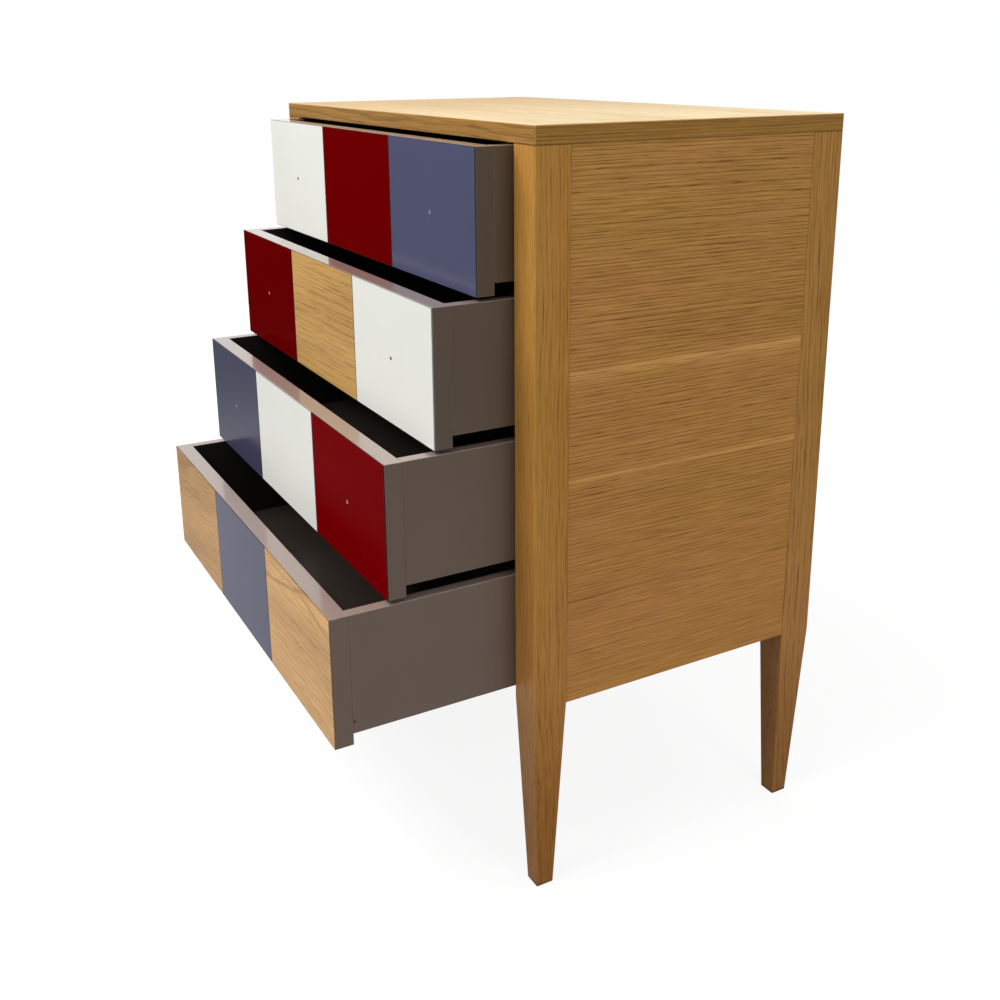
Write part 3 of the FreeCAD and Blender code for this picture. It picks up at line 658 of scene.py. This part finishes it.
# Each laminate's tone, cloudiness, dullness, strength as a mirror, and the colour of its core.
LAMINATES = {
    "white": (linear(241, 242, 234), 0.05, 0.30, 0.25, linear(80, 60, 45)),
    "red": (linear(104, 0, 2), 0.10, 0.22, 0.001, linear(205, 175, 150)),
    # The red of drawer 2 is painted darker and that of drawer 3 paler, and the blues of drawers 3 and 4
    # darker: painted shade and light for how the light falls on each drawer.
    "red of drawer 2": (linear(99, 0, 2), 0.14, 0.22, 0.001, linear(205, 175, 150)),
    "red of drawer 3": (linear(117, 0, 4), 0.12, 0.22, 0.002, linear(215, 185, 165)),
    "blue": (linear(81, 83, 110), 0.10, 0.20, 0.10, linear(190, 165, 145)),
    "blue of drawer 3": (linear(67, 68, 92), 0.14, 0.18, 0.13, linear(190, 165, 145)),
    "blue of drawer 4": (linear(75, 76, 104), 0.12, 0.20, 0.07, linear(190, 165, 145)),
}
# The kinds of each drawer's tiles, from left to right.
TILES = {
    1: ("white", "red", "blue"),
    2: ("red of drawer 2", "oak", "white"),
    3: ("blue of drawer 3", "white", "red of drawer 3"),
    4: ("oak", "blue of drawer 4", "oak"),
}

# Where the lowest drawer's veneer was cut near the outside of the log, dark flames cross its top corner:
# one along a shallow curve, a straight one that forks from it, and streaks over and under the curve.
wire, (place, forked) = effect("flame figure", Place=(0.0, 0.0, 0.0), Forked=1.0)
x, _, z = wire.axes(place)
ragged = wire.vary(z, wire.noise(place, (30.0, 30.0, 90.0)), 0.012)
curve = wire.maths("MULTIPLY_ADD", wire.product(x, x), 0.75, wire.maths("MULTIPLY_ADD", x, 0.12, -0.037))
over_curve = wire.maths("SUBTRACT", ragged, curve)
over_fork = wire.maths("SUBTRACT", ragged, wire.maths("MULTIPLY_ADD", x, -0.17, 0.0141))
fork = wire.product(wire.band(over_fork, -0.0050, -0.0005, 0.0005, 0.0040), wire.step(x, 0.11, 0.16), forked)
streaked = wire.noise(wire.add("CombineXYZ", x, over_curve, 0.0), (15.0, 330.0, 1.0))
streaked = wire.step(streaked, 0.36, 0.62)
FLAME_FIGURE = results(
    wire,
    Flame=wire.most(
        wire.band(over_curve, -0.0065, -0.0005, 0.0005, 0.0060),
        fork,
        wire.product(wire.step(over_curve, -0.002, 0.002), streaked, 0.55),
        wire.product(wire.step(over_curve, -0.024, -0.001), streaked, 0.30),
    ),
)

# Each oak tile is a different leaf: its tones, the slope of its grain in degrees, the strength of its
# flame, how far that is moved and how strongly it forks, and how the leaf was cut from the log.
OAK_TILES = {
    "drawer_2_tile_middle": dict(
        pale=(0.625, 0.366, 0.117, 1.0), dark=(0.250, 0.115, 0.030, 1.0),
        tilt=1.5, flame=0.0, moved=0.0, forked=0.0,
        cut=dict(
            Seed=51.0, Rings=0.40, Ring_Gap=0.0066, Pith_Aside=0.35, Pith_Depth=0.30, Pith_Lean=0.05,
            Mottle=1.8,
        ),
    ),
    "drawer_4_tile_left": dict(
        pale=(0.625, 0.342, 0.114, 1.0), dark=(0.240, 0.112, 0.030, 1.0),
        tilt=10.0, flame=0.5, moved=0.055, forked=0.0,
        cut=dict(
            Seed=53.0, Rings=0.20, Ring_Gap=0.0085, Pith_Aside=0.20, Pith_Depth=0.10, Pith_Lean=0.15,
            Mottle=1.1,
        ),
    ),
    "drawer_4_tile_right": dict(
        pale=(0.865, 0.500, 0.187, 1.0), dark=(0.270, 0.128, 0.034, 1.0),
        tilt=5.0, flame=0.6, moved=0.0, forked=0.8,
        cut=dict(
            Seed=52.0, Rings=0.17, Ring_Gap=0.0080, Pith_Aside=0.16, Pith_Depth=0.10, Pith_Lean=0.12,
            Mottle=1.0,
        ),
    ),
}


def oak_tile(wire, place, node):
    """An oak tile's colour, its finish, the colour of its core, its relief and its strength as a mirror."""
    leaf = OAK_TILES[node]
    low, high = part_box(node)
    local = wire.vector("SUBTRACT", place, tuple(low))
    turn = (0.0, math.radians(leaf["tilt"]), 0.0)
    x, y, z = wire.axes(wire.add("Mapping", local, (0.0, 0.0, 0.0), turn))
    oak = wire.use(
        OAK_FIGURE, Place=wire.add("CombineXYZ", x, z, y), Pale=leaf["pale"], Dark=leaf["dark"], Wave=0.005,
        Pores=0.45, Flecks=0.2, **leaf["cut"],
    )
    from_top = wire.vector("SUBTRACT", place, (low.x - leaf["moved"], low.y, high.z))
    flame = wire.use(FLAME_FIGURE, Place=from_top, Forked=leaf["forked"])["Flame"]
    colour = wire.blend(wire.product(flame, leaf["flame"]), oak["Colour"], leaf["dark"])
    return colour, oak, (0.66, 0.46, 0.26, 1.0), 0.00018, 0.25


def laminate_tile(wire, place, kind):
    """The same for a laminate tile of one kind."""
    tone, cloud, dullness, mirror, core = LAMINATES[kind]
    skin = wire.use(SPRAYED_LACQUER, Place=place, Tone=tone, Cloud=cloud, Dullness=dullness)
    return skin["Colour"], skin, core, 0.00003, mirror


for number, kinds in TILES.items():
    for part, kind in zip(("left", "middle", "right"), kinds):
        node = f"drawer_{number}_tile_{part}"
        material, wire, place = new_material(f"{kind} tile {number} {part}")
        if kind == "oak":
            colour, finish, core, relief, mirror = oak_tile(wire, place, node)
        else:
            colour, finish, core, relief, mirror = laminate_tile(wire, place, kind)
        low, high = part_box(node)
        joints = wire.use(
            TILE_SEAM_SHADE_AND_HOLES, Place=place, To_Edge=board_edge(wire, place, node), Hole_X=HOLE_X[part],
            Hole_Z=(low.z + high.z) / 2,
        )
        colour = wire.blend(joints["Core"], colour, core)
        # Painted shade along the tile's edges, for the seams between the tiles.
        colour = wire.blend(wire.product(joints["Seam"], 0.8), colour, (0.035, 0.025, 0.022, 1.0))
        wire.surface(colour, finish["Roughness"], finish["Height"], relief, Specular_IOR_Level=mirror)
        cover(node, material)

# ---------------------------------------------------------------------------
# Drawer channels
# The moving half of each runner, a folded zinc-plated channel under the
# drawer's floor beside each wall. Brighter than the track, from rubbing on it.
# ---------------------------------------------------------------------------

channel_steel = zinc("zinc plated channel", (0.72, 0.73, 0.74, 1.0), (0.53, 0.53, 0.53, 1.0))
for number in DRAWERS:
    for hand in HANDS:
        cover(f"drawer_{number}_runner_{hand}", channel_steel)

# ---------------------------------------------------------------------------
# Studio floor
# A pale card disc that the chest stands on, white to the eye. It keeps the
# chest's shadow, and fades into the white round it before its rim.
# ---------------------------------------------------------------------------

FLOOR_RADIUS = 3.6


def ray_kinds(wiring):
    """Whether a ray reaches the camera straight, and whether it does by way of a mirror or glass."""
    rays = wiring.add("LightPath").node.outputs
    return rays["Is Camera Ray"], wiring.most(rays["Is Glossy Ray"], rays["Is Transmission Ray"])


bpy.ops.mesh.primitive_circle_add(
    vertices=96, radius=FLOOR_RADIUS, fill_type="NGON", location=(0.0, 0.0, 0.0)
)
floor = bpy.context.object
floor.name = "studio_floor"
material, wire, place = new_material("pale card")
fibres = wire.noise(place, (140.0, 140.0, 140.0), 3.0)
card = wire.add("BsdfDiffuse", wire.blend(fibres, (0.15, 0.15, 0.15, 1.0), (0.17, 0.17, 0.17, 1.0)))
# The card glows for the eye, a little less beside the chest. In mirrors it glows more weakly, and fades
# with distance.
outward = wire.vector("LENGTH", place).node.outputs["Value"]
to_eye, in_mirror = ray_kinds(wire)
seen = wire.most(to_eye, wire.product(in_mirror, wire.step(outward, 2.6, 1.1), 0.6))
glow = wire.product(seen, wire.maths("MULTIPLY_ADD", wire.step(outward, 0.75, 1.5), 0.13, 0.87))
light = wire.add("Emission", (1.0, 1.0, 1.0, 1.0), glow)
wire.end(wire.add("AddShader", card, light))
floor.data.materials.append(material)

# ---------------------------------------------------------------------------
# Light
# One large soft lamp high up in front of the chest, a weak small one out to the
# right of it, and a pale room. The room is white to the eye and in reflections
# above the horizon, and dim below it.
# ---------------------------------------------------------------------------


def soft_lamp(name, place, turn, watts, size):
    """A square lamp that the camera doesn't see, its turn in degrees."""
    bpy.ops.object.light_add(type="AREA", location=place, rotation=[math.radians(angle) for angle in turn])
    lamp = bpy.context.object
    lamp.name = name
    lamp.data.energy = watts
    lamp.data.size = size
    lamp.visible_camera = False
    return lamp


key = soft_lamp("key_lamp", (-0.25, -2.2, 3.2), (40, 0, -6), 112.0, 2.4)
key.data.shape = "RECTANGLE"
key.data.size_y = 1.8
fill = soft_lamp("fill_lamp", (1.85, 0.25, 1.20), (68, 0, 90), 4.8, 0.5)
fill.visible_glossy = False

world = bpy.data.worlds.new("pale room")
bpy.context.scene.world = world
world.use_nodes = True
world.node_tree.nodes.clear()
wire = Wiring(world.node_tree)
_, y, z = wire.axes(wire.add("TexCoord", take=0))
above = wire.step(z, -0.02, 0.03)
lit = wire.maths("MULTIPLY_ADD", wire.step(z, 0.25, 1.0), 0.25, wire.maths("MULTIPLY_ADD", above, 0.44, 0.12))
# The room is dimmer low down in front, so the faces under the case that look that way stay in shade.
low_front = wire.product(wire.step(y, -0.2, -0.8), wire.step(z, 0.45, 0.10))
lit = wire.product(lit, wire.maths("MULTIPLY_ADD", low_front, -0.60, 1.0))
shown = wire.maths("MULTIPLY_ADD", above, 0.96, 0.04)
to_eye, in_mirror = ray_kinds(wire)
strength = wire.add("Mix", in_mirror, lit, shown, data_type="FLOAT")
strength = wire.add("Mix", to_eye, strength, 1.0, data_type="FLOAT")
wire.end(wire.add("Background", (1.0, 1.0, 1.0, 1.0), strength), "World")

# ---------------------------------------------------------------------------
# Camera
# Stands at the chest's front right corner, a little above the top, and looks
# down at it from close by, so the case narrows strongly toward the floor.
# ---------------------------------------------------------------------------

STAND = (1.51313, -0.75911, 1.07134)
TURN_DEGREES = (74.292, 0.401, 61.058)

bpy.ops.object.camera_add(location=STAND, rotation=[math.radians(angle) for angle in TURN_DEGREES])
camera = bpy.context.object
camera.data.sensor_width = 36.0
camera.data.lens = 41.2764
camera.data.shift_y = -0.12
bpy.context.scene.camera = camera
bpy.context.scene.view_settings.view_transform = "Standard"
